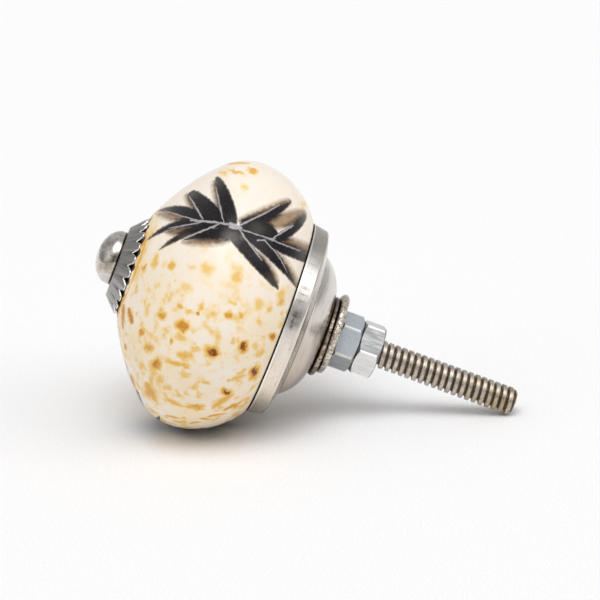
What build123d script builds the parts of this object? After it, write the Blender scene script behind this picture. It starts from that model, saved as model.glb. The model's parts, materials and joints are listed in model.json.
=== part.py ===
"""Cabinet knob: a glazed ceramic ball clamped on a domed bolt between a scalloped washer and a metal cup.

The bolt lies along Y: the face of the knob looks towards -Y and the stud leaves towards +Y, with +Z up.
The origin is on the bolt's axis at the outer face of the mounting nut, where the free stud begins.
"""

import os
from math import radians, sqrt, tan

from build123d import *

# Bolt
thread_d = 4.36
thread_depth = 0.7
stud_length = 22.66
stud_chamfer = 0.5
head_d = 8.5
head_edge = 0.55
head_rise = 2.9
bolt_hole_d = 5.2

# Scalloped washer
petal_count = 21
petal_rim_d = 15.7
petal_notch = 1.0
petal_notch_width = 1.55
petal_round = 0.65
petal_land_d = 11.1
petal_depth = 2.35
petal_sheet = 0.5
flute_depth = 0.35
flute_start = 0.05
rim_trim = 0.15

# Ceramic body
body_d = 42.9
body_front_length = 13.55
body_back_length = 10.6
shoulder_arc_r = 8.0
shoulder_arc_angle = 42.0
front_land_inset = 0.35
body_bore_d = 5.8
foot_clearance = 0.15

# Base cup
cup_rim_d = 30.9
cup_sheet = 0.7
cup_rim_inset = 0.32
cup_band_width = 2.5
cup_band_taper = 0.45
cup_band_round = 0.6
cup_ledge_d = 22.8
cup_ledge_rise = 1.05
cup_dome_rise = 3.4
cup_dome_arc_r = 7.8
cup_end_d = 12.7

# Washers
washer_d = 12.8
washer_edge = 0.3
inner_washer_thickness = 1.05
outer_washer_thickness = 1.15

# Nuts
nut_flats = 7.94
nut_height = 3.56
nut_face_inset = 0.12
nut_chamfer_angle = 30.0
nut_turning_margin = 0.2
thread_clearance = 0.05
clamp_nut_turn = 48.0
mounting_nut_turn = 9.2

# Radii that several pieces share; bolt and nuts meet at half the depth of the thread
stud_r = thread_d / 2
shank_r = (thread_d - thread_depth) / 2
nut_bore_r = shank_r + thread_clearance
hole_play = (bolt_hole_d - thread_d) / 2

# Stations along the bolt, from the origin to the face of the knob
clamp_nut_y = -nut_height
outer_washer_y = clamp_nut_y - nut_height
inner_washer_y = outer_washer_y - outer_washer_thickness
cup_end_y = inner_washer_y - inner_washer_thickness
cup_ledge_y = cup_end_y - cup_dome_rise
cup_band_y = cup_ledge_y - cup_ledge_rise
cup_rim_y = cup_band_y - cup_band_width
equator_y = cup_rim_y - body_back_length
front_y = equator_y - body_front_length
head_y = front_y - petal_depth

os.makedirs("parts", exist_ok=True)


# Plane across the bolt at y, with its middle raised by z
def across_bolt(y, z=0):
    return Plane((0, y, z), x_dir=(1, 0, 0), z_dir=(0, -1, 0))


# Bolt: domed head, shank that passes through the knob, free stud with a chamfered end
with BuildPart() as dome_bolt:
    with BuildSketch():
        with BuildLine():
            dome = EllipticalCenterArc(
                (0, head_y - head_edge), head_d / 2, head_rise, start_angle=270, arc_size=90
            )
            Polyline(
                dome @ 1,
                (head_d / 2, head_y),
                (shank_r, head_y),
                (shank_r, 0),
                (stud_r, 0),
                (stud_r, stud_length - stud_chamfer),
                (stud_r - stud_chamfer, stud_length),
                (0, stud_length),
                dome @ 0,
            )
        make_face()
    revolve(axis=Axis.Y)
dome_bolt.part.label = "dome_bolt"
export_step(dome_bolt.part, "parts/dome_bolt.step")


# Outline of rounded flutes in the plane at y, hanging by the washer's play on the bolt
def flute_outline(y, tip_r, notch_r):
    pitch = 360 / petal_count
    with BuildSketch(across_bolt(y, -hole_play)) as outline:
        with BuildLine():
            for index in range(petal_count):
                start = Vector(notch_r, 0).rotate(Axis.Z, index * pitch)
                tip = Vector(tip_r, 0).rotate(Axis.Z, (index + 0.5) * pitch)
                end = Vector(notch_r, 0).rotate(Axis.Z, (index + 1) * pitch)
                ThreePointArc(start, tip, end)
        make_face()
    return outline.sketch


# Scalloped washer: pressed cone, fluted outside and hollow behind, its rim notched to rounded petals
with BuildPart() as scalloped_washer:
    land_r = petal_land_d / 2
    flare_r = petal_rim_d / 2 + rim_trim
    land = flute_outline(head_y, land_r, land_r - flute_start)
    flare = flute_outline(front_y, flare_r, flare_r - flute_depth)
    loft([land, flare], ruled=True)
    with BuildSketch(Plane.XY.offset(-hole_play)):
        with BuildLine():
            Polyline(
                (0, head_y + petal_sheet),
                (land_r - flute_start, head_y + petal_sheet),
                (flare_r - flute_depth, front_y + petal_sheet),
                (0, front_y + petal_sheet),
                close=True,
            )
        make_face()
    revolve(axis=Axis((0, 0, -hole_play), (0, 1, 0)), mode=Mode.SUBTRACT)
    with BuildSketch(across_bolt(front_y, -hole_play)) as petals:
        Circle(petal_rim_d / 2)
        with PolarLocations(petal_rim_d / 2, petal_count):
            Polygon(
                (-petal_notch, 0),
                (petal_notch, -petal_notch_width),
                (petal_notch, petal_notch_width),
                align=None,
                mode=Mode.SUBTRACT,
            )
        fillet(petals.vertices().group_by(SortBy.DISTANCE)[-1], petal_round)
    extrude(amount=petal_depth, mode=Mode.INTERSECT)
    with BuildSketch(across_bolt(head_y, -hole_play)):
        Circle(bolt_hole_d / 2)
    extrude(amount=-petal_depth, mode=Mode.SUBTRACT)
scalloped_washer.part.label = "scalloped_washer"
export_step(scalloped_washer.part, "parts/scalloped_washer.step")


# Ceramic body: ball that draws in to a flat land at the front and to a foot in the cup at the back
with BuildPart() as ceramic_body:
    front_land = (petal_rim_d / 2 - front_land_inset, front_y)
    equator = (body_d / 2, equator_y)
    seat = (cup_rim_d / 2 - cup_rim_inset, cup_rim_y)
    foot_r = cup_rim_d / 2 - cup_band_taper - cup_sheet - foot_clearance
    foot_y = cup_band_y - cup_sheet - foot_clearance
    with BuildSketch():
        with BuildLine():
            shoulder = JernArc(equator, (0, -1), shoulder_arc_r, -shoulder_arc_angle)
            TangentArc(shoulder @ 1, front_land, tangent=shoulder % 1)
            TangentArc(equator, seat, tangent=(0, 1))
            Polyline(
                seat,
                (foot_r, cup_rim_y),
                (foot_r, foot_y),
                (body_bore_d / 2, foot_y),
                (body_bore_d / 2, front_y),
                front_land,
            )
        make_face()
    revolve(axis=Axis.Y)
ceramic_body.part.label = "ceramic_body"
export_step(ceramic_body.part, "parts/ceramic_body.step")


# Base cup: pressed sheet with a tapered band, a ledge and a dome, open towards the ceramic
with BuildPart() as base_cup:
    band_slope = Vector(cup_band_taper, -cup_band_width).normalized()
    band_end = Vector(cup_rim_d / 2 - cup_band_taper, cup_band_y)
    blank_rim = band_end + band_slope * (cup_band_width + cup_sheet)
    ledge_end = (cup_ledge_d / 2, cup_ledge_y)
    dome_end = (cup_end_d / 2, cup_end_y)
    with BuildSketch():
        with BuildLine() as cup_sheet_line:
            Polyline(blank_rim, band_end, ledge_end)
            RadiusArc(ledge_end, dome_end, -cup_dome_arc_r)
            Line(dome_end, (bolt_hole_d / 2, cup_end_y))
            fillet(cup_sheet_line.vertices().sort_by_distance(band_end)[0], cup_band_round)
            offset(amount=cup_sheet, side=Side.LEFT)
        make_face()
    revolve(axis=Axis.Y)
    split(bisect_by=across_bolt(cup_rim_y), keep=Keep.BOTTOM)
base_cup.part.label = "base_cup"
export_step(base_cup.part, "parts/base_cup.step")


# Plain washer with its back face at y, rounded by the shears, off centre by z
def washer(y, thickness, z):
    with BuildPart() as plain:
        with BuildSketch(across_bolt(y, z)):
            Circle(washer_d / 2)
            Circle(bolt_hole_d / 2, mode=Mode.SUBTRACT)
        extrude(amount=thickness)
        outer_edges = plain.edges().filter_by(GeomType.CIRCLE).group_by(SortBy.RADIUS)[-1]
        chamfer(outer_edges, washer_edge)
    return plain.part


# Washers: each lies off centre by its play on the bolt, the inner one low and the outer one high
inner_washer = washer(inner_washer_y, inner_washer_thickness, -hole_play)
inner_washer.label = "inner_washer"
export_step(inner_washer, "parts/inner_washer.step")
outer_washer = washer(outer_washer_y, outer_washer_thickness, hole_play)
outer_washer.label = "outer_washer"
export_step(outer_washer, "parts/outer_washer.step")


# Hexagon nut with its back face at y, chamfered at both ends, one corner turned up from +X
def hexagon_nut(y, turn):
    face_r = nut_flats / 2 - nut_face_inset
    blank_r = nut_flats / sqrt(3) + nut_turning_margin
    blank_drop = (blank_r - face_r) * tan(radians(nut_chamfer_angle))
    with BuildPart() as nut:
        with BuildSketch(across_bolt(y)):
            RegularPolygon(nut_flats / 2, 6, major_radius=False, rotation=turn)
            Circle(nut_bore_r, mode=Mode.SUBTRACT)
        extrude(amount=nut_height)
        with BuildSketch():
            with BuildLine():
                Polyline(
                    (0, y),
                    (face_r, y),
                    (blank_r, y - blank_drop),
                    (blank_r, y - nut_height + blank_drop),
                    (face_r, y - nut_height),
                    (0, y - nut_height),
                    close=True,
                )
            make_face()
        revolve(axis=Axis.Y, mode=Mode.INTERSECT)
    return nut.part


# Nuts: the first clamps the knob, the second holds it to a drawer front
clamp_nut = hexagon_nut(clamp_nut_y, clamp_nut_turn)
clamp_nut.label = "clamp_nut"
export_step(clamp_nut, "parts/clamp_nut.step")
mounting_nut = hexagon_nut(0, mounting_nut_turn)
mounting_nut.label = "mounting_nut"
export_step(mounting_nut, "parts/mounting_nut.step")
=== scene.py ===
"""Looks of the cabinet knob: painted glaze, nickel, zinc and a rolled thread, lying on a pale floor."""

import json
import math

import bpy
from mathutils import Matrix, Vector


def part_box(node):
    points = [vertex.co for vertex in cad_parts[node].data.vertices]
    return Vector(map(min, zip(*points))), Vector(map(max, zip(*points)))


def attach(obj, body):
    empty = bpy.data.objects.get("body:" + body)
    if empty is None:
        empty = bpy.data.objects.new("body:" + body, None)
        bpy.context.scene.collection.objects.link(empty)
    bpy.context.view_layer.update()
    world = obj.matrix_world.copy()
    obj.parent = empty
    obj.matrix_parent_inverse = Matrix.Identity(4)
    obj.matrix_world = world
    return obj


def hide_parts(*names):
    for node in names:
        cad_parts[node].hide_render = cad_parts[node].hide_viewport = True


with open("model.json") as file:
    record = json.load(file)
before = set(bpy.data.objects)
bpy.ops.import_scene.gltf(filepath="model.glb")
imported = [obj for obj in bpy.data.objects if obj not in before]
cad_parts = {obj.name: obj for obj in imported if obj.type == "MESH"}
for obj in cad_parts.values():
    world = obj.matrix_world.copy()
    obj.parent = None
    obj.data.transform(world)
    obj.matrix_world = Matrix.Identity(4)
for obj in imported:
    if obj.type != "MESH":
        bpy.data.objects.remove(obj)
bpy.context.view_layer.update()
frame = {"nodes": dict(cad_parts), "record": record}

MM = 0.001
PER_MM = 1000.0
AXIS = Vector((0, 1, 0))

# View: the camera looks at a point on the bolt, turned up about the bolt and a little towards the face
VIEW_POINT = Vector((0, -16.03 * MM, 0))
VIEW_RISE = math.radians(18.0)
VIEW_TILT = math.radians(4.2)
VIEW_ROLL = math.radians(20.0)
VIEW_DISTANCE = 434 * MM
VIEW_LENS = 168.0
VIEW_SENSOR = 36.0
VIEW_SHIFT = (0.0313, 0.0298)
VIEW_CLIP = 10 * MM
TOWARDS_VIEWER = Vector((math.cos(VIEW_RISE), 0, math.sin(VIEW_RISE)))

# Studio: heights above the floor, turns from the camera's side to the right, strengths,
# and focus, which is the power of the cosine that each light falls off by
BOX_HEIGHT = math.radians(65.0)
BOX_TURN = math.radians(-2.0)
BOX_STRENGTH = 6.95
BOX_FOCUS = 21.0
SIDE_HEIGHT = math.radians(41.0)
SIDE_TURN = math.radians(64.0)
SIDE_STRENGTH = 2.15
SIDE_FOCUS = 20.0
LEFT_HEIGHT = math.radians(26.0)
LEFT_TURN = math.radians(-66.0)
LEFT_STRENGTH = 0.60
LEFT_FOCUS = 7.0
WALL_HEIGHT = math.radians(14.0)
WALL_TURN = math.radians(170.0)
WALL_STRENGTH = 0.42
WALL_FOCUS = 1.0
ROOM = 0.24
ROOM_SLOPE = 0.02

# Floor, in m; its lean is found by halving a range of angles
FLOOR_SIZE = 6.0
LEAN_MOST = math.radians(60.0)
LEAN_STEPS = 40

# Scalloped washer, in mm: its petals and flutes, and how far it hangs on the bolt
PETAL_COUNT = 21
PETAL_DROP = 0.42
PETAL_LAND_R = 5.55
PETAL_LAND_Y = -42.77
PETAL_FLARE_R = 8.0
PETAL_RISE = 2.35
FLUTE_START = 0.05
FLUTE_DEPTH = 0.35

# Bolt, in mm: its head as in the solid, and the thread that the solid leaves out.
# The thread's crest and flank are shares of half its pitch.
HEAD_EDGE = 0.55
HEAD_RISE = 2.9
SHANK_R = 1.83
THREAD_PITCH = 1.106
THREAD_DEPTH = 0.54
THREAD_CREST = 0.46
THREAD_FLANK = 0.48
STUD_CHAMFER = 0.55
BOLT_SIDES = 96
DOME_ROWS = 28
ROWS_PER_PITCH = 18
SHARP_ANGLE = math.radians(38.0)

# Broken edges of the CAD nodes: how near points are welded first, and widths in mm
WELD = 0.002 * MM
EDGE_SEGMENTS = 3
EDGE_ANGLE = math.radians(24.0)
CUP_EDGE = 0.10
PETAL_EDGE = 0.07
WASHER_EDGE = 0.12
NUT_EDGE = 0.09

# Paint, on a chart in mm: along the bolt, and up across the side that faces the chart's direction.
# Each stroke has a foot, a tip, half its width, how far it bows to the left, and how it thins to its tip.
INK_STROKES = [
    ((-28.9, 10.2), (-33.2, 16.8), 0.95, -0.24, 0.30),
    ((-30.2, 10.2), (-36.2, 13.2), 1.15, -0.05, 0.20),
    ((-32.9, 9.7), (-40.0, 8.8), 0.86, -0.80, 0.55),
    ((-32.9, 9.5), (-40.1, 3.6), 0.55, -1.00, 0.55),
    ((-31.6, 9.7), (-37.9, 3.0), 0.55, -0.50, 0.50),
    ((-27.9, 9.5), (-35.2, 5.6), 0.92, -0.50, 0.60),
    ((-27.6, 10.6), (-21.3, 17.2), 0.72, -0.40, 0.40),
    ((-27.8, 10.7), (-21.8, 11.0), 1.20, 0.62, 0.22),
    ((-22.6, 10.3), (-18.5, 15.9), 0.66, -0.50, 0.20),
    ((-24.0, 10.0), (-15.0, 9.70), 0.76, -0.05, 0.12),
    ((-27.0, 10.2), (-15.9, 4.6), 0.86, 0.55, 0.60),
    ((-28.9, 9.6), (-19.1, 3.8), 1.00, 0.05, 0.40),
    ((-34.2, 9.9), (-28.6, 10.0), 0.80, 0.00, 0.20),
    ((-29.0, 9.8), (-23.4, 10.2), 0.75, 0.00, 0.20),
]
WASH_STROKES = [
    ((-30.5, 11.2), (-33.4, 16.2), 0.64, 0.10, 0.25),
    ((-33.0, 10.4), (-36.7, 12.8), 0.66, 0.25, 0.20),
    ((-34.0, 9.2), (-40.0, 8.4), 0.80, -0.10, 0.40),
    ((-32.6, 9.1), (-37.9, 6.0), 0.80, 0.15, 0.40),
    ((-28.4, 8.4), (-35.2, 5.4), 0.66, 0.05, 0.40),
    ((-28.3, 11.2), (-21.5, 17.2), 0.75, -0.20, 0.20),
    ((-25.4, 12.0), (-18.4, 16.3), 1.15, -0.30, 0.20),
    ((-23.0, 10.8), (-15.0, 11.1), 0.90, 0.00, 0.15),
    ((-22.6, 9.3), (-16.2, 5.2), 0.62, 0.20, 0.30),
    ((-24.6, 7.9), (-19.4, 4.4), 0.62, 0.20, 0.30),
]
VEIN_STROKES = [
    ((-30.2, 10.3), (-32.9, 15.2), 0.095, 0.05, 0.15),
    ((-33.2, 9.8), (-36.2, 12.6), 0.112, 0.00, 0.15),
    ((-33.0, 9.5), (-38.9, 9.3), 0.086, 0.12, 0.20),
    ((-33.2, 9.4), (-37.6, 6.8), 0.086, 0.05, 0.20),
    ((-30.6, 10.1), (-34.9, 6.1), 0.103, 0.00, 0.15),
    ((-27.9, 10.8), (-23.0, 15.9), 0.12, -0.08, 0.20),
    ((-22.6, 10.6), (-20.0, 13.8), 0.12, 0.00, 0.12),
    ((-23.6, 10.38), (-17.6, 10.38), 0.086, 0.00, 0.15),
    ((-23.9, 10.0), (-18.7, 6.6), 0.086, 0.34, 0.20),
    ((-27.9, 10.3), (-23.0, 7.0), 0.129, -0.08, 0.15),
    ((-34.9, 9.0), (-29.0, 10.4), 0.155, 0.15, 0.10),
    ((-28.6, 10.35), (-22.2, 10.55), 0.086, -0.10, 0.10),
    ((-29.4, 10.30), (-27.4, 10.5), 0.46, 0.00, 0.40),
    ((-24.8, 9.5), (-23.4, 10.1), 0.103, 0.05, 0.20),
    ((-23.2, 10.3), (-22.0, 10.8), 0.138, 0.00, 0.40),
]
INK_FOOT, WASH_FOOT, VEIN_FOOT = 0.10, 0.25, 0.08
# Places where the ink was laid on thin, as spots: place, half sizes along and up, and depth
THIN_INK = [
    (-28.4, 8.6, 1.30, 1.00, 0.80),
    (-25.3, 11.3, 1.10, 0.90, 0.45),
    (-27.1, 9.1, 0.50, 0.40, 0.90),
    (-36.4, 13.2, 1.20, 0.90, 0.60),
    (-39.0, 9.4, 1.30, 0.80, 0.60),
    (-16.4, 10.4, 1.60, 1.20, 0.45),
    (-18.7, 15.4, 0.90, 1.00, 0.55),
    (-34.4, 6.2, 1.60, 0.90, 0.55),
    (-20.2, 4.8, 1.70, 1.20, 0.60),
    (-17.0, 5.4, 1.50, 1.20, 0.60),
    (-37.2, 4.4, 1.40, 1.10, 0.50),
    (-33.2, 16.0, 1.00, 1.20, 0.50),
]
# A second spray, turned to the far side and lowered, has one more leaf that shows past the outline.
# The near spray has the half of the ball whose middle is turned by the split from the viewer.
FAR_LEAF = ((-28.4, 10.4), (-28.8, 19.4), 0.62, 0.10, 0.60)
FAR_TURN = math.radians(-120.0)
FAR_DROP = 4.0
CHART_SPLIT = math.radians(60.0)

# Drawing on a chart: a length past any place on it, a size too great for the running value to count,
# the height of the arch along a stroke, and the slope and reach of a spot's soft edge, in half sizes
OFF_CHART = 10000.0
RUNNING_SIZE = 1000.0
ARCH_PEAK = 0.25
SPOT_FALL = 0.95
SPOT_REACH = 1.5

# Spots in the glaze, on the same chart: place, half sizes along and up, and depth of colour
SPOTS = [
    (-30.3, 3.0, 1.15, 1.15, 0.44),
    (-26.2, 4.6, 1.30, 0.70, 0.34),
    (-25.8, 3.4, 0.85, 1.15, 0.48),
    (-32.4, 2.5, 0.80, 0.45, 0.34),
    (-35.3, 1.8, 0.55, 1.00, 0.56),
    (-37.7, 1.5, 0.60, 1.20, 0.50),
    (-38.8, 0.1, 0.35, 0.80, 0.70),
    (-18.4, 3.2, 0.85, 1.20, 0.46),
    (-18.2, 2.3, 0.60, 0.75, 0.56),
    (-21.3, 0.8, 0.95, 1.05, 0.44),
    (-19.5, 0.7, 0.50, 0.60, 0.54),
    (-17.4, 0.8, 0.45, 0.50, 0.40),
    (-32.2, -0.6, 1.00, 0.80, 0.38),
    (-23.2, 0.1, 0.70, 0.70, 0.28),
    (-25.0, -2.3, 0.85, 0.70, 0.68),
    (-23.2, -1.8, 0.55, 0.60, 0.58),
    (-29.3, -2.4, 0.50, 0.80, 0.52),
    (-29.4, -3.5, 0.38, 0.40, 0.74),
    (-30.6, -3.7, 0.80, 0.55, 0.48),
    (-32.1, -3.5, 0.55, 0.40, 0.58),
    (-27.8, -3.4, 0.60, 0.40, 0.38),
    (-17.4, -3.1, 0.75, 0.75, 0.78),
    (-34.1, -5.8, 0.85, 0.70, 0.68),
    (-30.8, -6.1, 1.15, 1.05, 0.74),
    (-30.5, -7.8, 1.10, 0.75, 0.50),
    (-25.4, -8.2, 1.40, 1.10, 0.68),
    (-25.3, -8.3, 0.95, 0.88, 0.92),
    (-21.2, -6.0, 0.65, 1.20, 0.86),
    (-21.3, -5.8, 0.42, 0.95, 0.92),
    (-19.6, -5.4, 0.65, 0.80, 0.44),
    (-22.9, -5.7, 0.35, 0.60, 0.46),
    (-18.1, -9.0, 0.85, 1.30, 0.82),
    (-18.1, -9.0, 0.52, 0.95, 0.94),
    (-27.8, -8.7, 0.85, 0.55, 0.44),
    (-32.8, -7.6, 0.70, 0.50, 0.42),
    (-35.9, -9.2, 0.50, 0.95, 0.70),
    (-34.2, -11.0, 0.75, 0.90, 0.64),
    (-32.3, -12.8, 0.90, 1.40, 0.70),
    (-32.5, -12.9, 0.40, 0.90, 0.78),
    (-30.7, -11.7, 1.20, 0.45, 0.46),
    (-28.3, -11.4, 0.90, 0.40, 0.54),
    (-27.8, -12.8, 0.80, 0.45, 0.40),
    (-24.6, -12.8, 0.95, 0.55, 0.48),
    (-21.0, -13.3, 1.05, 0.70, 0.80),
    (-21.0, -13.3, 0.80, 0.45, 0.94),
    (-19.0, -15.0, 0.65, 0.60, 0.70),
    (-31.5, -17.4, 1.30, 0.95, 0.64),
    (-31.0, -14.9, 0.70, 0.80, 0.50),
    (-29.6, -15.6, 0.80, 0.70, 0.44),
    (-24.4, -17.0, 1.40, 0.50, 0.66),
    (-21.5, -15.6, 0.80, 0.60, 0.50),
    (-28.4, 19.5, 0.80, 0.45, 0.62),
    (-30.6, 18.5, 1.50, 0.30, 0.58),
    (-32.4, 17.7, 0.60, 0.40, 0.56),
    (-28.9, 16.5, 0.45, 0.55, 0.40),
    (-19.3, 17.4, 0.60, 0.50, 0.40),
]

# Streaks in the glaze, drawn like the strokes of the brush: pale ones, and brown ones near the outline
PALE_STREAKS = [
    ((-29.4, -17.2), (-25.8, -17.5), 0.40, -0.15, 0.40),
    ((-26.2, -17.5), (-23.0, -16.2), 0.46, -0.15, 0.30),
    ((-22.2, -16.5), (-19.7, -12.9), 0.55, 0.10, 0.40),
    ((-32.8, -16.0), (-29.9, -18.5), 0.70, -0.10, 0.40),
    ((-31.3, -11.8), (-28.1, -11.2), 0.42, -0.25, 0.40),
    ((-21.4, -11.5), (-18.9, -9.7), 0.34, 0.10, 0.40),
]
BROWN_STREAKS = [
    ((-20.4, -16.3), (-18.4, -14.0), 0.22, 0.00, 0.50),
    ((-22.3, -18.0), (-19.1, -16.2), 0.18, 0.10, 0.50),
    ((-24.4, -19.9), (-22.3, -18.9), 0.16, 0.05, 0.50),
    ((-28.2, -20.0), (-25.2, -19.6), 0.15, 0.10, 0.50),
    ((-23.4, -18.6), (-20.6, -17.9), 0.15, 0.05, 0.50),
    ((-19.4, -15.6), (-17.5, -12.9), 0.18, 0.00, 0.50),
    ((-35.2, -15.9), (-33.6, -18.0), 0.28, 0.00, 0.40),
    ((-39.0, -6.3), (-37.6, -8.7), 0.38, 0.00, 0.30),
    ((-39.9, -6.1), (-38.5, -10.2), 0.30, 0.00, 0.40),
    ((-37.6, -11.7), (-37.0, -12.8), 0.24, 0.00, 0.30),
    ((-32.4, 19.2), (-28.8, 20.6), 0.16, 0.15, 0.30),
]

# Brown marks on the bolt's head, on the same chart
HEAD_MARKS = [
    (-44.9, -2.0, 0.55, 0.75, 0.55),
    (-44.1, -1.7, 0.55, 0.95, 0.75),
    (-43.6, -0.9, 0.30, 1.30, 0.80),
    (-45.8, 1.1, 0.40, 0.40, 0.50),
    (-45.1, 1.7, 0.40, 0.35, 0.55),
]

# Marks on the cup's metal, on the same chart: a pitted streak on the band and a smudge on the dome
CUP_MARKS = [
    (-15.25, 1.1, 0.32, 0.70, 0.85),
    (-15.35, 0.2, 0.30, 0.55, 0.95),
    (-15.25, -0.7, 0.30, 0.50, 0.75),
    (-14.7, 0.5, 0.45, 1.30, 0.40),
    (-11.5, 0.0, 0.75, 0.85, 0.55),
    (-10.8, 0.8, 0.80, 0.50, 0.45),
]


def view_axes():
    """Right, up and back of the camera."""
    back = (TOWARDS_VIEWER * math.cos(VIEW_TILT) - AXIS * math.sin(VIEW_TILT)).normalized()
    along = (AXIS - back * AXIS.dot(back)).normalized()
    across = back.cross(along)
    right = along * math.cos(VIEW_ROLL) + across * math.sin(VIEW_ROLL)
    up = across * math.cos(VIEW_ROLL) - along * math.sin(VIEW_ROLL)
    return right, up, back


def make_camera():
    right, up, back = view_axes()
    data = bpy.data.cameras.new("camera")
    data.lens = VIEW_LENS
    data.sensor_width = VIEW_SENSOR
    data.shift_x, data.shift_y = VIEW_SHIFT
    data.clip_start = VIEW_CLIP
    camera = bpy.data.objects.new("camera", data)
    turn = Matrix((right, up, back)).transposed().to_4x4()
    camera.matrix_world = Matrix.Translation(VIEW_POINT + back * VIEW_DISTANCE) @ turn
    bpy.context.collection.objects.link(camera)
    bpy.context.scene.camera = camera


class Graph:
    """Nodes of one material or world. Most methods add nodes and return an output of the last one."""

    def __init__(self, owner):
        owner.use_nodes = True
        self.nodes = owner.node_tree.nodes
        self.links = owner.node_tree.links

    def feed(self, socket, value):
        if isinstance(value, bpy.types.NodeSocket):
            self.links.new(value, socket)
        elif socket.type == "RGBA" and len(value) == 3:
            socket.default_value = (*value, 1)
        else:
            socket.default_value = value

    def add(self, kind, inputs, output=0, **settings):
        node = self.nodes.new("ShaderNode" + kind)
        for name, value in settings.items():
            setattr(node, name, value)
        for name, value in inputs.items():
            self.feed(node.inputs[name], value)
        return node.outputs[output]

    def math(self, operation, *values, clamp=False):
        return self.add("Math", dict(enumerate(values)), operation=operation, use_clamp=clamp)

    def scale_add(self, value, factor, offset, clamp=False):
        return self.math("MULTIPLY_ADD", value, factor, offset, clamp=clamp)

    def times(self, first, *others):
        for other in others:
            first = self.math("MULTIPLY", first, other)
        return first

    def deepest(self, first, *others):
        for other in others:
            first = self.math("MAXIMUM", first, other)
        return first

    def opposite(self, value):
        return self.math("SUBTRACT", 1.0, value)

    def vector(self, operation, *values, output="Vector"):
        return self.add("VectorMath", dict(enumerate(values)), output, operation=operation)

    def scaled(self, vector, factor):
        return self.add("VectorMath", {0: vector, "Scale": factor}, operation="SCALE")

    def split(self, vector):
        node = self.nodes.new("ShaderNodeSeparateXYZ")
        self.links.new(vector, node.inputs[0])
        return node.outputs

    def place(self, vector, location=(0, 0, 0), rotation=(0, 0, 0), scale=(1, 1, 1), kind="POINT"):
        inputs = {"Vector": vector, "Location": location, "Rotation": rotation, "Scale": scale}
        return self.add("Mapping", inputs, vector_type=kind)

    def ramp(self, value, low, high, low_value=0.0, high_value=1.0):
        """Smooth step from one value at low to another at high."""
        inputs = {0: value, 1: low, 2: high, 3: low_value, 4: high_value}
        return self.add("MapRange", inputs, interpolation_type="SMOOTHSTEP")

    def share(self, value, low, high):
        """Straight line that is 0 at low and 1 at high."""
        return self.math("DIVIDE", self.math("SUBTRACT", value, low), high - low)

    def band(self, value, middle, half_width):
        """1 at the middle, and 0 beyond half the width."""
        off = self.math("ABSOLUTE", self.math("SUBTRACT", value, middle))
        return self.scale_add(off, -1 / half_width, 1.0, clamp=True)

    def noise(self, vector, scale=1.0, detail=2.0, roughness=0.5, output="Fac"):
        inputs = {"Vector": vector, "Scale": scale, "Detail": detail, "Roughness": roughness}
        return self.add("TexNoise", inputs, output)

    def cloud(self, scale, detail=2.0, roughness=0.5):
        """Noise on the object, with a scale per mm."""
        return self.noise(self.in_mm(), scale, detail, roughness)

    def stretched(self, stretch, scale=1.0, detail=2.0, roughness=0.5):
        """Noise on the object, with scales per mm that differ by direction."""
        return self.noise(self.place(self.in_mm(), scale=stretch), scale, detail, roughness)

    def mix(self, factor, first, second):
        return self.add("Mix", {0: factor, 6: first, 7: second}, 2, data_type="RGBA")

    def colours(self, value, stops):
        node = self.nodes.new("ShaderNodeValToRGB")
        self.links.new(value, node.inputs[0])
        elements = node.color_ramp.elements
        while len(elements) < len(stops):
            elements.new(1.0)
        for element, (position, colour) in zip(elements, stops):
            element.position = position
            element.color = (*colour, 1)
        return node.outputs[0]

    def bump(self, height, strength, distance):
        return self.add("Bump", {"Height": height, "Strength": strength, "Distance": distance}, "Normal")

    def in_mm(self):
        """Place on the object, in mm."""
        place = self.add("TexCoord", {}, "Object")
        return self.place(place, scale=(PER_MM, PER_MM, PER_MM))

    def towards(self, side):
        """Distance from the bolt's axis towards a side, in mm."""
        return self.vector("DOT_PRODUCT", self.in_mm(), side, output="Value")

    def facing_ends(self):
        """1 on faces across the bolt, 0 on faces along it."""
        _, along, _ = self.split(self.add("TexCoord", {}, "Normal"))
        return self.math("ABSOLUTE", along)

    def spoke(self):
        """Direction from the bolt's axis, the same all along a spoke."""
        return self.vector("NORMALIZE", self.vector("MULTIPLY", self.in_mm(), (1, 0, 1)))

    def chart(self, turn=0.0):
        """Along the bolt, up across the side at that turn from the viewer, and out of that side, in mm."""
        angle = VIEW_RISE + turn
        up = Vector((-math.sin(angle), 0, math.cos(angle)))
        out = Vector((math.cos(angle), 0, math.sin(angle)))
        rotation = Matrix((AXIS, up, out)).to_euler()
        return self.place(self.in_mm(), rotation=rotation)

    def carry(self, chart):
        """The chart with a running value in its third place, where marks are laid one after another."""
        return self.vector("MULTIPLY", chart, (1, 1, 0))

    def deepen(self, carried, value):
        lifted = self.add("CombineXYZ", {0: -OFF_CHART, 1: -OFF_CHART, 2: value})
        return self.vector("MAXIMUM", carried, lifted)

    def stroke(self, chart, foot, tip, half_width, bow, tip_taper, foot_taper, soft):
        """Brush stroke on a chart: 1 inside and 0 outside, with an edge that is soft wide."""
        run = Vector(tip) - Vector(foot)
        turn = (0, 0, math.atan2(run.y, run.x))
        local = self.place(chart, (*foot, 0), turn, (run.length, 1, 1), kind="TEXTURE")
        done, side, _ = self.split(local)
        left = self.opposite(done)
        arch = self.times(done, left)
        off_line = self.math("ABSOLUTE", self.scale_add(arch, -bow / ARCH_PEAK, side))
        width = self.times(self.math("POWER", done, foot_taper), self.math("POWER", left, tip_taper))
        widest = foot_taper / (foot_taper + tip_taper)
        full_width = widest ** foot_taper * (1 - widest) ** tip_taper
        inside = self.times(width, (half_width + soft / 2) / full_width / soft)
        return self.scale_add(off_line, -1 / soft, inside, clamp=True)

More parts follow.
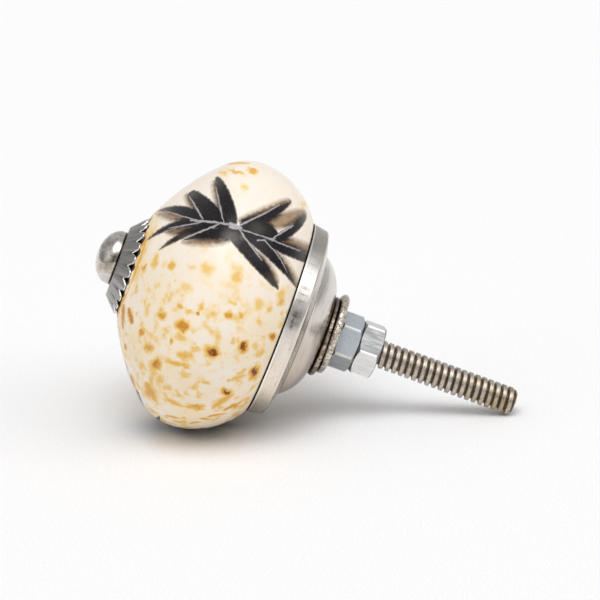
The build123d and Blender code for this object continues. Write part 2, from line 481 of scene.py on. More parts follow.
    def strokes(self, chart, rows, foot_taper, soft):
        carried = self.carry(chart)
        for row in rows:
            carried = self.deepen(carried, self.stroke(carried, *row, foot_taper, soft))
        return self.split(carried)[2]

    def spots(self, chart, rows):
        """Deepest of the round spots at each place on a chart, each with a soft edge."""
        carried = self.carry(chart)
        for along, up, half_along, half_up, depth in rows:
            size = (half_along, half_up, RUNNING_SIZE)
            local = self.place(carried, (along, up, 0), scale=size, kind="TEXTURE")
            away = self.vector("LENGTH", local, output="Value")
            fall = self.scale_add(away, -SPOT_FALL * depth, SPOT_REACH * SPOT_FALL * depth)
            carried = self.deepen(carried, self.math("MINIMUM", fall, depth))
        return self.split(carried)[2]


class Surface(Graph):
    """Material with one shader, whose inputs are set by name."""

    def __init__(self, name):
        self.material = bpy.data.materials.new(name)
        super().__init__(self.material)
        self.shader = self.nodes["Principled BSDF"]

    def set(self, **inputs):
        for name, value in inputs.items():
            self.feed(self.shader.inputs[name.replace("_", " ")], value)
        return self.material


# Values of the materials. Lengths are in mm, and the scales of noise are per mm. A wobble has a scale
# and a reach. A ramp has its two ends and, where they aren't 0 and 1, its values there. A line, like the
# ticks' places, has its middle and half its width. Specks have a spacing, their largest radius as a share
# of it, and a seed. A bump has a strength and a height.
# Dark tone for real dirt and marks, and for painted shade in gaps, creases and shadows
DIRT_AND_SHADE = (0.030, 0.018, 0.010)
# Pale tone for painted highlights on rims, cut edges and corners
PAINTED_HIGHLIGHT = (0.960, 0.940, 0.900)
CREVICE_SAMPLES = 8
CREVICE_OPEN = (0.35, 0.95, 1.0, 0.0)
SPECK_BEND_SCALE = 2.5
SPECK_BEND = 0.35
SPECK_EDGE = 3.2


def wobble(g, chart, scale, reach):
    """The chart, shifted a little from place to place, so that edges look painted by hand."""
    shift = g.noise(g.in_mm(), scale, output="Color")
    centred = g.vector("SUBTRACT", shift, (0.5, 0.5, 0.5))
    return g.vector("ADD", chart, g.vector("MULTIPLY", centred, (reach, reach, 0)))


def speckles(g, spacing, radius, seed):
    """Round specks at random, with radii up to a share of their spacing."""
    per_spacing = 1 / spacing
    place = g.place(g.in_mm(), (seed, seed, seed), scale=(per_spacing, per_spacing, per_spacing))
    bend = g.scaled(g.noise(place, SPECK_BEND_SCALE, output="Color"), SPECK_BEND)
    node = g.nodes.new("ShaderNodeTexVoronoi")
    g.links.new(g.vector("ADD", place, bend), node.inputs["Vector"])
    node.inputs["Scale"].default_value = 1.0
    chance, strength, _ = g.split(node.outputs["Color"])
    inside = g.math("SUBTRACT", g.times(chance, radius), node.outputs["Distance"])
    return g.times(g.scale_add(inside, SPECK_EDGE, 0.0, clamp=True), strength)


def crevice_shade(g, reach):
    """1 in narrow gaps and corners, 0 on open faces: a mask for painted shade where light is shut out. The
    reach is in mm.
    """
    node = g.nodes.new("ShaderNodeAmbientOcclusion")
    node.samples = CREVICE_SAMPLES
    node.inputs["Distance"].default_value = reach * MM
    return g.ramp(node.outputs["AO"], *CREVICE_OPEN)


def radius_mm(g, drop=0.0):
    """Distance from the bolt's axis, or from an axis that hangs lower by the drop."""
    x, _, z = g.split(g.in_mm())
    flat = g.add("CombineXYZ", {0: x, 1: g.math("ADD", z, drop)})
    return g.vector("LENGTH", flat, output="Value")


def petal_wave(g):
    """1 at the notches between the petals, -1 at the middle of each petal."""
    x, _, z = g.split(g.in_mm())
    turn = g.math("ARCTAN2", g.math("ADD", z, PETAL_DROP), x)
    return g.math("COSINE", g.times(turn, PETAL_COUNT))


def petal_depth(g):
    """Depth below the fluted face of the scalloped washer, along the bolt, in mm."""
    _, along, _ = g.split(g.in_mm())
    out = g.share(radius_mm(g, PETAL_DROP), PETAL_LAND_R, PETAL_FLARE_R)
    half_flute = g.scale_add(out, (FLUTE_DEPTH - FLUTE_START) / 2, FLUTE_START / 2)
    flute = g.times(half_flute, g.math("ADD", petal_wave(g), 1.0))
    face = g.scale_add(out, PETAL_RISE, flute)
    return g.math("SUBTRACT", g.math("SUBTRACT", along, PETAL_LAND_Y), face)


# Glaze: depths of colour from 0, the ivory ground, to 1, the darkest brown
GLAZE_STOPS = [
    (0.00, (0.910, 0.835, 0.755)),
    (0.20, (0.915, 0.745, 0.500)),
    (0.40, (0.860, 0.595, 0.225)),
    (0.55, (0.800, 0.460, 0.100)),
    (0.72, (0.640, 0.285, 0.034)),
    (0.88, (0.300, 0.088, 0.010)),
    (1.00, (0.130, 0.034, 0.005)),
]
SPOT_WOBBLE = (0.9, 1.3)
SPOT_POWER = 1.08
SPOTS_IN_FRONT = (1.0, 4.0)
STREAK_WOBBLE = (1.1, 0.40)
STREAK_FOOT = 0.30
PALE_SOFT, PALE_DEPTH = 0.70, 0.58
BROWN_SOFT, BROWN_DEPTH = 0.36, 0.76
STREAKS_IN_FRONT = (0.2, 1.5)
COARSE_SPECKS = (3.2, 0.62, 11.0)
COARSE_DEPTH, COARSE_LOSS = 0.85, -0.62
COARSE_LOSS_IN_FRONT = (2.0, 7.0)
FINE_SPECKS, FINE_DEPTH = (1.4, 0.52, 37.0), 0.16
CLOUD_SCALE, CLOUD_DEPTH = 0.42, (0.44, 0.76, 0.0, 0.42)
FLECK_SCALE, FLECK_DEPTH = 0.62, (0.54, 0.90, 0.0, 0.52)
LOW_SCALE, LOW_REACH, LOW_DEPTH = 0.12, 16.0, (-2.0, 14.0, 0.25, 1.25)
RING_STRETCH = (0.22, 1.9, 0.22)
RING_ALONG, RING_DEPTH = (-38.4, -40.4), (0.36, 0.66, 0.12, 0.74)
GRAIN_SCALE, GRAIN_DEPTH = 5.0, (0.25, 0.62, 0.85, 1.08)
WARMTH_SCALE, WARMTH_DEPTH = 0.16, (0.30, 0.70, 0.03, 0.14)
RIPPLE_SCALE, RIPPLE_BUMP = 0.45, (0.10, 0.6 * MM)
GLAZE_ROUGHNESS = 0.27
GLAZE_SPECULAR = 0.24

# Leaves: black ink with pale veins, laid thin in places, and a brown wash that is deeper near the ink
INK = (0.008, 0.006, 0.009)
INK_THIN = (0.100, 0.084, 0.066)
WASH = (0.380, 0.262, 0.160)
WASH_DEEP = (0.040, 0.024, 0.017)
VEIN = (0.520, 0.495, 0.505)
LEAF_OUT = (0.5, 1.5)
LEAF_WOBBLE = (1.6, 0.34)
FAR_LEAF_SOFT = 0.20
BRISTLE_SCALE = 3.2
WASH_SCALE, WASH_SOFT, WASH_DEPTH = 1.3, 0.88, (0.30, 0.62, 0.95, 1.20)
INK_SOFT, INK_BRISTLE, INK_LOSS = 0.50, 0.5, -0.25
INK_EDGE, INK_HALO = (0.20, 0.85), (0.10, 0.50, 0.0, 0.70)
VEIN_SOFT, VEIN_DEPTH = 0.12, (0.28, 0.50, 0.40, 0.78)
THIN_SPOTS, THIN_BRISTLES = (0.30, 0.65, 0.6, 1.1), (0.45, 0.80, 0.0, 0.35)
NEAR_INK_SOFT, NEAR_INK = 2.4, (0.05, 0.50)
DEEP_CLOUD, DEEP_NEAR, DEEP_LOSS = 0.6, 0.95, -0.25

# Painted shade on the glaze: a painted shadow under the petals and a painted shade line beside the cup's
# rim
NOTCH_REACH = -0.42
UNDER_PETALS_ALONG, UNDER_PETALS_RIM = (-39.90, -40.20), (7.95, 7.70)
BESIDE_CUP = (-16.70, -16.45)


def placed_marks(g, chart, front):
    """Depth of the spots and streaks that the lists place on the side towards the viewer."""
    spots = g.spots(wobble(g, chart, *SPOT_WOBBLE), SPOTS)
    spots = g.times(g.math("POWER", spots, SPOT_POWER), g.ramp(front, *SPOTS_IN_FRONT))
    drawn = wobble(g, chart, *STREAK_WOBBLE)
    pale = g.times(g.strokes(drawn, PALE_STREAKS, STREAK_FOOT, PALE_SOFT), PALE_DEPTH)
    brown = g.times(g.strokes(drawn, BROWN_STREAKS, STREAK_FOOT, BROWN_SOFT), BROWN_DEPTH)
    streaks = g.times(g.deepest(pale, brown), g.ramp(front, *STREAKS_IN_FRONT))
    return g.deepest(spots, streaks)


def scattered_marks(g, front):
    """Depth of the specks, clouds and flecks that noise scatters all round the ball."""
    loss = g.ramp(front, *COARSE_LOSS_IN_FRONT)
    coarse = g.times(speckles(g, *COARSE_SPECKS), g.scale_add(loss, COARSE_LOSS, COARSE_DEPTH))
    fine = g.times(speckles(g, *FINE_SPECKS), FINE_DEPTH)
    clouds = g.ramp(g.cloud(CLOUD_SCALE), *CLOUD_DEPTH)
    flecks = g.ramp(g.cloud(FLECK_SCALE, detail=1.0), *FLECK_DEPTH)
    return g.deepest(coarse, fine, clouds, flecks)


def ground_colour(g, chart, grain):
    """Ivory with ochre marks, more of them low on the ball, and a brown ring by the petals."""
    along, up, front = g.split(chart)
    ragged = g.scale_add(up, -1.0, g.times(g.cloud(LOW_SCALE), LOW_REACH))
    low = g.ramp(ragged, *LOW_DEPTH)
    placed = placed_marks(g, chart, front)
    scattered = g.times(scattered_marks(g, front), low)
    streaks = g.stretched(RING_STRETCH, detail=3.0)
    ring = g.times(g.ramp(along, *RING_ALONG), g.ramp(streaks, *RING_DEPTH))
    depth = g.times(g.deepest(placed, scattered, ring), g.ramp(grain, *GRAIN_DEPTH))
    warmth = g.times(g.ramp(g.cloud(WARMTH_SCALE, detail=1.0), *WARMTH_DEPTH), low)
    return g.colours(g.deepest(depth, warmth), GLAZE_STOPS)


def leaf_charts(g, chart):
    """Chart of the spray on each side of the ball, where it is near, and where the paint shows."""
    far_chart = g.place(g.chart(FAR_TURN), (0, FAR_DROP, 0))
    angle = VIEW_RISE + CHART_SPLIT
    near = g.math("GREATER_THAN", g.towards((math.cos(angle), 0, math.sin(angle))), 0.0)
    both = g.add("Mix", {0: near, 4: far_chart, 5: chart}, 1, data_type="VECTOR")
    shown = g.ramp(g.split(both)[2], *LEAF_OUT)
    return wobble(g, both, *LEAF_WOBBLE), near, shown


def paint_leaves(g, chart, ground, grain):
    """The sprays of leaves, painted over the ground."""
    chart, near, shown = leaf_charts(g, chart)
    bristles = g.cloud(BRISTLE_SCALE, detail=4.0, roughness=0.7)
    cloudy = g.cloud(WASH_SCALE, detail=3.0)
    far_leaf = g.times(g.stroke(chart, *FAR_LEAF, INK_FOOT, FAR_LEAF_SOFT), g.opposite(near))

    wash = g.times(g.strokes(chart, WASH_STROKES, WASH_FOOT, WASH_SOFT), shown)
    wash = g.times(wash, g.ramp(cloudy, *WASH_DEPTH))
    near_ink = g.ramp(g.strokes(chart, INK_STROKES, INK_FOOT, NEAR_INK_SOFT), *NEAR_INK)
    laid = g.deepest(g.strokes(chart, INK_STROKES, INK_FOOT, INK_SOFT), far_leaf)
    laid = g.times(g.scale_add(bristles, INK_BRISTLE, g.math("ADD", laid, INK_LOSS)), shown)
    vein = g.times(g.strokes(chart, VEIN_STROKES, VEIN_FOOT, VEIN_SOFT), shown)
    vein = g.times(vein, g.ramp(grain, *VEIN_DEPTH))

    thin = g.times(g.spots(chart, THIN_INK), g.ramp(bristles, *THIN_SPOTS))
    pigment = g.mix(g.deepest(thin, g.ramp(bristles, *THIN_BRISTLES)), INK, INK_THIN)
    deep = g.scale_add(cloudy, DEEP_CLOUD, g.scale_add(near_ink, DEEP_NEAR, DEEP_LOSS), clamp=True)
    tone = g.mix(deep, WASH, WASH_DEEP)
    painted = g.mix(g.deepest(wash, g.ramp(laid, *INK_HALO)), ground, tone)
    painted = g.mix(g.ramp(laid, *INK_EDGE), painted, pigment)
    return g.mix(vein, painted, VEIN)


def glaze():
    g = Surface("glazed_ceramic")
    chart = g.chart()
    grain = g.cloud(GRAIN_SCALE, detail=3.0)
    painted = paint_leaves(g, chart, ground_colour(g, chart, grain), grain)
    along = g.split(chart)[0]
    past_rim = g.scale_add(petal_wave(g), NOTCH_REACH, radius_mm(g))
    under_petals = g.times(g.ramp(along, *UNDER_PETALS_ALONG), g.ramp(past_rim, *UNDER_PETALS_RIM))
    # Painted shadow in the notches under the petals, and a painted shade line beside the cup's rim
    painted_shade = g.deepest(under_petals, g.ramp(along, *BESIDE_CUP))
    return g.set(
        Base_Color=g.mix(painted_shade, painted, DIRT_AND_SHADE),
        Roughness=GLAZE_ROUGHNESS,
        Normal=g.bump(g.cloud(RIPPLE_SCALE), *RIPPLE_BUMP),
        Specular_IOR_Level=GLAZE_SPECULAR,
    )


# Nickel of the bolt: a bright head with brown marks and a painted shade line at its seat, a filmed stud
# that is tarnished towards its end
NICKEL = (0.690, 0.650, 0.600)
FILM = (0.500, 0.430, 0.355)
TARNISH = (0.440, 0.330, 0.160)
HEAD_BROWN = (0.30, 0.23, 0.16)
SPECK_BROWN = (0.16, 0.13, 0.10)
ROOT_DARK_TONE = (0.150, 0.105, 0.070)
STUD_ALONG = (-1.0, 0.0)
ROOT_RADIUS = (1.66, 2.00, 0.9, 0.0)
PATCH_SCALE = 0.55
FILM_PATCHES = (0.30, 0.60, 0.25, 0.85)
TARNISH_ALONG, TARNISH_PATCHES, TARNISH_DEPTH = (11.0, 21.0), (0.36, 0.62), 0.65
SPECK_SCALE, SPECK_EDGES, SPECK_DEPTH = 3.6, (0.58, 0.66), 0.75
HEAD_WOBBLE, SMEAR_PATCHES, SMEAR_DEPTH = (1.6, 0.9), (0.45, 0.65), 0.3
SEAT_SHADE_ALONG = (-43.20, -43.00)
STUD_ROUGHNESS, PATCH_ROUGHNESS, HEAD_ROUGHNESS = 0.28, 0.16, 0.06
TURNED_STRETCH, TURNED_BUMP = (0.8, 9.0, 0.8), (0.10, 0.05 * MM)


def bolt_nickel():
    g = Surface("nickel_bolt")
    _, along, _ = g.split(g.in_mm())
    on_stud = g.ramp(along, *STUD_ALONG)
    on_head = g.opposite(on_stud)
    patches = g.cloud(PATCH_SCALE, detail=3.0)
    film = g.times(on_stud, g.ramp(patches, *FILM_PATCHES))
    tarnish = g.times(g.ramp(along, *TARNISH_ALONG), g.ramp(patches, *TARNISH_PATCHES), TARNISH_DEPTH)
    marks = g.spots(wobble(g, g.chart(), *HEAD_WOBBLE), HEAD_MARKS)
    smears = g.times(g.ramp(patches, *SMEAR_PATCHES), SMEAR_DEPTH)
    specks = g.times(g.ramp(g.cloud(SPECK_SCALE), *SPECK_EDGES), SPECK_DEPTH)
    colour = g.mix(film, NICKEL, FILM)
    colour = g.mix(tarnish, colour, TARNISH)
    colour = g.mix(g.times(g.deepest(marks, smears), on_head), colour, HEAD_BROWN)
    colour = g.mix(specks, colour, SPECK_BROWN)
    # Darker in the thread's roots
    colour = g.mix(g.times(g.ramp(radius_mm(g), *ROOT_RADIUS), on_stud), colour, ROOT_DARK_TONE)
    # Painted shade line round the head where it sits on the washer
    colour = g.mix(g.times(g.ramp(along, *SEAT_SHADE_ALONG), on_head), colour, DIRT_AND_SHADE)
    rough = g.scale_add(patches, PATCH_ROUGHNESS, HEAD_ROUGHNESS)
    return g.set(
        Base_Color=colour,
        Metallic=1.0,
        Roughness=g.scale_add(on_stud, STUD_ROUGHNESS, rough),
        Normal=g.bump(g.stretched(TURNED_STRETCH), *TURNED_BUMP),
    )


# Nickel of the cup: a painted warm reflection low down, painted shade at the band's ends and along its
# bends
NICKEL_BAND = (0.790, 0.755, 0.705)
# Dark nickel tone for wear, drawn lines and ticks, and for painted shade at the band's ends
NICKEL_WEAR_AND_SHADE = (0.260, 0.235, 0.205)
NICKEL_WARM_REFLECTION = (0.820, 0.735, 0.645)
DOME_WARM_REFLECTION = (0.600, 0.515, 0.435)
BAND_ALONG = (-13.6, -13.9)
WARM_REFLECTION_BELOW = (4.0, -8.0)
BAND_TOP_SHADE, BAND_FOOT_SHADE = (9.5, 12.5, 0.0, 0.60), (-10.5, -14.0, 0.0, 0.60)
CUP_WOBBLE = (3.0, 0.7)
PIT_SCALE, PITTED_MARKS, WORN_PITS = 6.0, (0.35, 0.60, 0.25, 1.0), (0.54, 0.68, 0.0, 0.32)
DRAWN_STRETCH, DRAWN_SHADE = (0.30, 5.0, 0.30), (0.48, 0.80, 0.0, 0.35)
TICK_SCALE, TICK_EDGES, TICK_DEPTH = 34.0, (0.52, 0.64), 0.7
TICKS_ALONG, TICKS_UP = (-15.2, 1.1), (5.0, 9.0)
LEDGE_LINE, BEND_LINE, SHADE_LINE_DEPTH = (-12.80, 0.14), (-13.66, 0.10), 0.7
LIP_HIGHLIGHT_LINE = (-16.12, 0.16)
CUP_CREVICE, CUP_CREVICE_DEPTH = 0.5, 0.85
CUP_CLOUD_SCALE, CLOUD_ROUGHNESS, CUP_ROUGHNESS, BAND_ROUGHNESS = 0.30, 0.22, 0.10, 0.09
PIT_HEIGHT, CUP_BUMP = 0.8, (0.22, 0.07 * MM)


def cup_nickel():
    g = Surface("nickel_cup")
    chart = g.chart()
    along, up, _ = g.split(chart)
    on_band = g.ramp(along, *BAND_ALONG)
    pits = g.cloud(PIT_SCALE, detail=3.0)
    drawn = g.stretched(DRAWN_STRETCH, detail=3.0)
    clean = g.mix(on_band, NICKEL, NICKEL_BAND)
    # Painted warm reflection on the lower side of the band and the dome
    warm_reflection = g.mix(on_band, DOME_WARM_REFLECTION, NICKEL_WARM_REFLECTION)
    colour = g.mix(g.ramp(up, *WARM_REFLECTION_BELOW), clean, warm_reflection)
    colour = g.mix(g.ramp(drawn, *DRAWN_SHADE), colour, NICKEL_WEAR_AND_SHADE)
    # Painted shade at the top and the foot of the band, and darker at the worn pits
    for value, edges in ((up, BAND_TOP_SHADE), (up, BAND_FOOT_SHADE), (pits, WORN_PITS)):
        colour = g.mix(g.times(g.ramp(value, *edges), on_band), colour, NICKEL_WEAR_AND_SHADE)
    ticks = g.ramp(g.noise(g.scaled(g.spoke(), TICK_SCALE)), *TICK_EDGES)
    ticks = g.times(ticks, g.band(along, *TICKS_ALONG), g.band(up, *TICKS_UP), TICK_DEPTH)
    colour = g.mix(ticks, colour, NICKEL_WEAR_AND_SHADE)
    # Painted shade lines in the creases between the band, the ledge and the dome
    lines = g.math("ADD", g.band(along, *LEDGE_LINE), g.band(along, *BEND_LINE))
    colour = g.mix(g.times(lines, SHADE_LINE_DEPTH), colour, DIRT_AND_SHADE)
    marks = g.spots(wobble(g, chart, *CUP_WOBBLE), CUP_MARKS)
    colour = g.mix(g.times(marks, g.ramp(pits, *PITTED_MARKS)), colour, DIRT_AND_SHADE)
    # Painted highlight along the cup's lip
    colour = g.mix(g.band(along, *LIP_HIGHLIGHT_LINE), colour, PAINTED_HIGHLIGHT)
    # Painted shade in the cup's gaps and corners
    colour = g.mix(g.times(crevice_shade(g, CUP_CREVICE), CUP_CREVICE_DEPTH), colour, DIRT_AND_SHADE)
    rough = g.scale_add(g.cloud(CUP_CLOUD_SCALE, detail=3.0), CLOUD_ROUGHNESS, CUP_ROUGHNESS)
    return g.set(
        Base_Color=colour,
        Metallic=1.0,
        Roughness=g.scale_add(on_band, BAND_ROUGHNESS, rough),
        Normal=g.bump(g.scale_add(pits, PIT_HEIGHT, drawn), *CUP_BUMP),
    )


# Nickel of the scalloped washer: grey, lined along its spokes, with painted highlights on its cut rims,
# painted shade below them and in its flutes
PETAL_GREY = (0.30, 0.29, 0.28)
PETAL_BRIGHT = (0.50, 0.48, 0.46)
PETAL_FLUTE_SHADE = (0.10, 0.09, 0.08)
SPOKE_SCALE, SPOKE_LINES = 26.0, (0.35, 0.70)
FLUTE_WAVE, FLUTE_RADIUS = (0.35, 0.95), (5.6, 6.9, 0.0, 0.65)
CUT_FACING, CUT_RADIUS = (0.30, 0.58, 1.0, 0.0), (6.2, 6.6)
CUT_SHADE, CUT_HIGHLIGHT = (0.10, 0.24), (0.08, 0.20, 1.0, 0.0)
PETAL_CREVICE, PETAL_CREVICE_DEPTH = 0.45, 0.8
PETAL_ROUGHNESS, CUT_ROUGHNESS = 0.32, 0.10
SPOKE_BUMP = (0.35, 0.10 * MM)


def petal_nickel():
    g = Surface("nickel_petals")
    lines = g.noise(g.scaled(g.spoke(), SPOKE_SCALE), detail=3.0, roughness=0.7)
    flute_shade = g.times(g.ramp(petal_wave(g), *FLUTE_WAVE), g.ramp(radius_mm(g), *FLUTE_RADIUS))
    cut = g.times(g.ramp(g.facing_ends(), *CUT_FACING), g.ramp(radius_mm(g), *CUT_RADIUS))
    below = petal_depth(g)
    colour = g.mix(g.ramp(lines, *SPOKE_LINES), PETAL_GREY, PETAL_BRIGHT)
    # Painted shade in the valleys of the flutes
    colour = g.mix(flute_shade, colour, PETAL_FLUTE_SHADE)
    # Painted shade in the washer's notches and corners
    colour = g.mix(g.times(crevice_shade(g, PETAL_CREVICE), PETAL_CREVICE_DEPTH), colour, DIRT_AND_SHADE)
    # Painted shade on the cut walls below the petals' rims
    colour = g.mix(g.times(cut, g.ramp(below, *CUT_SHADE)), colour, DIRT_AND_SHADE)
    # Painted highlight along the petals' cut rims
    colour = g.mix(g.times(cut, g.ramp(below, *CUT_HIGHLIGHT)), colour, PAINTED_HIGHLIGHT)
    return g.set(
        Base_Color=colour,
        Metallic=1.0,
        Roughness=g.scale_add(cut, CUT_ROUGHNESS, PETAL_ROUGHNESS),
        Normal=g.bump(lines, *SPOKE_BUMP),
    )


# Steel of the plain washers: bright where it was sheared, darker where it tore away, with painted shade in
# the gaps
STAINED, STAINED_TORN = (0.62, 0.53, 0.44), (0.15, 0.10, 0.07)
BRIGHT, BRIGHT_TORN = (0.88, 0.82, 0.73), (0.36, 0.30, 0.24)
WASHER_PIT = (0.10, 0.07, 0.05)
TORN_STRETCH, TORN_SCALE, TORN_EDGES = (1.6, 0.8, 1.6), 1.5, (0.38, 0.62)
WASHER_PIT_SCALE, WASHER_PIT_EDGES, WASHER_PIT_DEPTH = 4.2, (0.52, 0.70), 0.75
WASHER_CREVICE = 1.1
WASHER_PIT_HEIGHT, WASHER_BUMP = -0.8, (0.55, 0.14 * MM)
TORN_ROUGHNESS, WASHER_ROUGHNESS = 0.30, 0.16


def washer_steel(name, bright, torn_away):
    g = Surface(name)
    torn = g.stretched(TORN_STRETCH, TORN_SCALE, detail=4.0, roughness=0.65)
    pits = g.ramp(g.cloud(WASHER_PIT_SCALE, detail=3.0), *WASHER_PIT_EDGES)
    colour = g.mix(g.ramp(torn, *TORN_EDGES), bright, torn_away)
    colour = g.mix(g.times(pits, WASHER_PIT_DEPTH), colour, WASHER_PIT)
    # Painted shade in the gaps between the washers and in their corners
    colour = g.mix(crevice_shade(g, WASHER_CREVICE), colour, DIRT_AND_SHADE)
    return g.set(
        Base_Color=colour,
        Metallic=1.0,
        Roughness=g.scale_add(torn, TORN_ROUGHNESS, WASHER_ROUGHNESS),
        Normal=g.bump(g.scale_add(pits, WASHER_PIT_HEIGHT, torn), *WASHER_BUMP),
    )


# Zinc of the nuts: brushed, with one darker flat each, darker chamfers, painted highlights on the corners,
# dark dots and painted shade in crevices. Each nut has its tone, its shade, the depth of its streaks, the
# angle of its darker flat up from +X, and that flat's tone.
BLUE_ZINC = ((0.62, 0.67, 0.71), (0.46, 0.49, 0.54), 0.4, math.radians(-42.0), (0.39, 0.41, 0.41))
WHITE_ZINC = ((0.84, 0.84, 0.83), (0.62, 0.62, 0.62), 0.5, math.radians(39.2), (0.22, 0.225, 0.225))
ZINC_DOT = (0.16, 0.16, 0.17)
BRUSH_STRETCH, BRUSH_STREAKS = (2.2, 0.45, 2.2), (0.40, 0.75)
FLAT_OUT, FLAT_BRUSH = (3.84, 3.93), (0.35, 0.60, 0.66, 0.90)
CHAMFER_FROM, CHAMFER_TO, CHAMFER_DEPTH = (0.20, 0.40), (0.92, 0.98, 1.0, 0.0), 0.7
CORNER_RADIUS, CORNER_FACING = (4.40, 4.50, 0.0, 0.8), (0.10, 0.30, 1.0, 0.0)
DOT_SCALE, DOT_EDGES, DOT_DEPTH = 3.4, (0.70, 0.76), 0.6
NUT_CREVICE, NUT_CREVICE_DEPTH = 0.35, 0.7
NUT_CLOUD_SCALE, NUT_CLOUD_ROUGHNESS, NUT_ROUGHNESS = 0.7, 0.20, 0.40
BRUSH_BUMP = (0.15, 0.06 * MM)


def nut_zinc(name, bright, shade, streak, darker_flat_side, darker_tone):
    g = Surface(name)
    brushed = g.stretched(BRUSH_STRETCH, detail=4.0, roughness=0.65)
    colour = g.mix(g.ramp(brushed, *BRUSH_STREAKS, 0.0, streak), bright, shade)
    out = g.towards((math.cos(darker_flat_side), 0, math.sin(darker_flat_side)))
    # One flat of each nut is darker, and its chamfers take that flat's tone
    colour = g.mix(g.times(g.ramp(out, *FLAT_OUT), g.ramp(brushed, *FLAT_BRUSH)), colour, darker_tone)
    ends = g.facing_ends()
    chamfers = g.times(g.ramp(ends, *CHAMFER_FROM), g.ramp(ends, *CHAMFER_TO), CHAMFER_DEPTH)
    colour = g.mix(chamfers, colour, darker_tone)
    # Painted highlights on the corners between the flats
    corner_highlights = g.times(g.ramp(radius_mm(g), *CORNER_RADIUS), g.ramp(ends, *CORNER_FACING))
    colour = g.mix(corner_highlights, colour, PAINTED_HIGHLIGHT)
    dots = g.times(g.ramp(g.cloud(DOT_SCALE, detail=1.0), *DOT_EDGES), DOT_DEPTH)
    colour = g.mix(dots, colour, ZINC_DOT)
    # Painted shade in the nuts' gaps and corners
    colour = g.mix(g.times(crevice_shade(g, NUT_CREVICE), NUT_CREVICE_DEPTH), colour, DIRT_AND_SHADE)
    return g.set(
        Base_Color=colour,
        Metallic=1.0,
        Roughness=g.scale_add(g.cloud(NUT_CLOUD_SCALE), NUT_CLOUD_ROUGHNESS, NUT_ROUGHNESS),
        Normal=g.bump(brushed, *BRUSH_BUMP),
    )


# Floor: white cloth with a faint weave
CLOTH_LOW = (0.865, 0.865, 0.875)
CLOTH_HIGH = (0.920, 0.920, 0.930)
WEAVE_SCALE, WEAVE_EDGES, WEAVE_BUMP = 3.0, (0.3, 0.7), (0.30, 0.12 * MM)
CLOTH_ROUGHNESS = 0.85
CLOTH_SPECULAR = 0.2


def floor_cloth():
    g = Surface("floor")
    weave = g.cloud(WEAVE_SCALE, detail=1.0)
    return g.set(
        Base_Color=g.mix(g.ramp(weave, *WEAVE_EDGES), CLOTH_LOW, CLOTH_HIGH),
        Roughness=CLOTH_ROUGHNESS,
        Normal=g.bump(weave, *WEAVE_BUMP),
        Specular_IOR_Level=CLOTH_SPECULAR,
    )


def bolt_rows(front, end, head_r):
    """Places along the bolt, in mm, from the dome to the stud's end, with radii. None marks the thread."""
    brim = front + HEAD_RISE
    rows = []
    for index in range(1, DOME_ROWS + 1):
        turn = math.pi / 2 * index / DOME_ROWS
        rows.append((brim - HEAD_RISE * math.cos(turn), head_r * math.sin(turn)))
    seat = brim + HEAD_EDGE
    rows += [(seat, head_r), (seat, SHANK_R), (0.0, SHANK_R)]
    count = math.ceil(end / THREAD_PITCH * ROWS_PER_PITCH)
    return rows + [(end * index / count, None) for index in range(count + 1)]


def thread_radius(y, angle, crest, end):
    phase = (y / THREAD_PITCH - angle / (2 * math.pi)) % 1.0
    down_flank = min(max((abs(2 * phase - 1) - THREAD_CREST) / THREAD_FLANK, 0), 1)
    radius = crest - THREAD_DEPTH * down_flank ** 2 * (3 - 2 * down_flank)
    return min(radius, crest - STUD_CHAMFER + max(end - y, 0))


def bolt_mesh():
    """Rings of points round the bolt's axis, closed by a point at each end."""
    low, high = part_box("dome_bolt")
    front, end = low.y / MM, high.y / MM
    rows = bolt_rows(front, end, high.x / MM)
    crest = frame["record"]["mounts"][0]["dims"]["r_mm"]
    points = [(0, front * MM, 0)]
    for y, radius in rows:
        for side in range(BOLT_SIDES):
            angle = 2 * math.pi * side / BOLT_SIDES
            r = thread_radius(y, angle, crest, end) if radius is None else radius
            points.append((r * math.sin(angle) * MM, y * MM, r * math.cos(angle) * MM))
    points.append((0, end * MM, 0))
    faces = []
    last_ring = 1 + (len(rows) - 1) * BOLT_SIDES
    for side in range(BOLT_SIDES):
        after = (side + 1) % BOLT_SIDES
        faces.append((0, 1 + side, 1 + after))
        for start in range(1, last_ring, BOLT_SIDES):
            upper = start + BOLT_SIDES
            faces.append((start + after, start + side, upper + side, upper + after))
        faces.append((last_ring + after, last_ring + side, len(points) - 1))
    mesh = bpy.data.meshes.new("threaded_bolt")
    mesh.from_pydata(points, [], faces)
    mesh.shade_smooth()
    mesh.set_sharp_from_angle(angle=SHARP_ANGLE)
    return mesh


def make_bolt():
    """Bolt with its rolled thread, in place of the plain one."""
    mesh = bolt_mesh()
    bolt = bpy.data.objects.new("threaded_bolt", mesh)
    bpy.context.collection.objects.link(bolt)
    mesh.materials.append(bolt_nickel())
    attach(bolt, "root")
    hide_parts("dome_bolt")


def dress(node, material, edge=None):
    """New finish for a CAD node, with its edges broken by edge mm."""
    piece = frame["nodes"][node]
    piece.data.materials.clear()
    piece.data.materials.append(material)
    if edge:
        weld = piece.modifiers.new("weld", "WELD")
        weld.merge_threshold = WELD
        bevel = piece.modifiers.new("bevel", "BEVEL")
        bevel.width = edge * MM
        bevel.segments = EDGE_SEGMENTS
        bevel.limit_method = "ANGLE"
        bevel.angle_limit = EDGE_ANGLE
        bevel.harden_normals = True


def support(node, down):
    """How far a node reaches in the direction down."""
    return max(vertex.co.dot(down) for vertex in frame["nodes"][node].data.vertices)


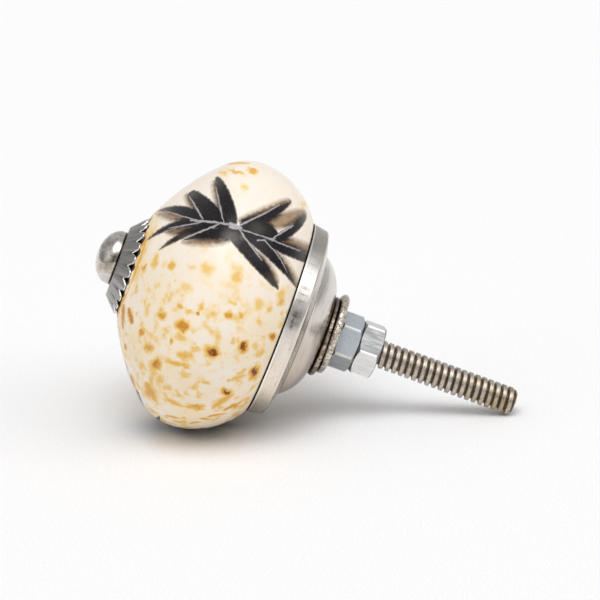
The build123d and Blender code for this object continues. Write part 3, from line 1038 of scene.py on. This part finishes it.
def resting_plane():
    """Direction and depth of the plane that touches the ceramic and the end of the stud from below."""
    low, high = 0.0, LEAN_MOST
    for _ in range(LEAN_STEPS):
        lean = (low + high) / 2
        down = Vector((0, math.sin(lean), -math.cos(lean)))
        if support("dome_bolt", down) < support("ceramic_body", down):
            low = lean
        else:
            high = lean
    return down, support("ceramic_body", down)


def make_floor(down, depth):
    bpy.ops.mesh.primitive_plane_add(size=FLOOR_SIZE)
    floor = bpy.context.object
    floor.name = "floor"
    turn = (-down).to_track_quat("Z", "Y").to_matrix().to_4x4()
    floor.matrix_world = Matrix.Translation(down * depth) @ turn
    floor.data.materials.append(floor_cloth())


def studio_direction(up, height, turn):
    """Direction at a height above the floor, turned from the camera's side to the right."""
    right, _, _ = view_axes()
    level = (right - up * right.dot(up)).normalized()
    forward = level.cross(up)
    around = forward * math.cos(turn) + level * math.sin(turn)
    return up * math.sin(height) + around * math.cos(height)


def make_world(up):
    """Studio: a soft box overhead on the camera's side, weaker ones at the sides and a pale wall behind."""
    world = bpy.data.worlds.new("world")
    bpy.context.scene.world = world
    g = Graph(world)
    look = g.add("TexCoord", {}, "Generated")

    def lobe(height, turn, focus):
        towards = g.vector("DOT_PRODUCT", look, studio_direction(up, height, turn), output="Value")
        return g.math("POWER", g.math("MAXIMUM", towards, 0.0), focus)

    right = g.vector("DOT_PRODUCT", look, studio_direction(up, 0.0, math.pi / 2), output="Value")
    light = g.scale_add(right, ROOM_SLOPE, ROOM)
    light = g.scale_add(lobe(WALL_HEIGHT, WALL_TURN, WALL_FOCUS), WALL_STRENGTH, light)
    light = g.scale_add(lobe(LEFT_HEIGHT, LEFT_TURN, LEFT_FOCUS), LEFT_STRENGTH, light)
    light = g.scale_add(lobe(SIDE_HEIGHT, SIDE_TURN, SIDE_FOCUS), SIDE_STRENGTH, light)
    light = g.scale_add(lobe(BOX_HEIGHT, BOX_TURN, BOX_FOCUS), BOX_STRENGTH, light)
    g.feed(g.nodes["Background"].inputs["Color"], (1, 1, 1))
    g.feed(g.nodes["Background"].inputs["Strength"], light)


make_camera()
down, depth = resting_plane()
make_floor(down, depth)
make_world(-down)

make_bolt()
dress("ceramic_body", glaze())
dress("base_cup", cup_nickel(), CUP_EDGE)
dress("scalloped_washer", petal_nickel(), PETAL_EDGE)
dress("inner_washer", washer_steel("steel_stained", STAINED, STAINED_TORN), WASHER_EDGE)
dress("outer_washer", washer_steel("steel_bright", BRIGHT, BRIGHT_TORN), WASHER_EDGE)
dress("clamp_nut", nut_zinc("zinc_blue", *BLUE_ZINC), NUT_EDGE)
dress("mounting_nut", nut_zinc("zinc_white", *WHITE_ZINC), NUT_EDGE)

bpy.context.scene.view_settings.view_transform = "Standard"
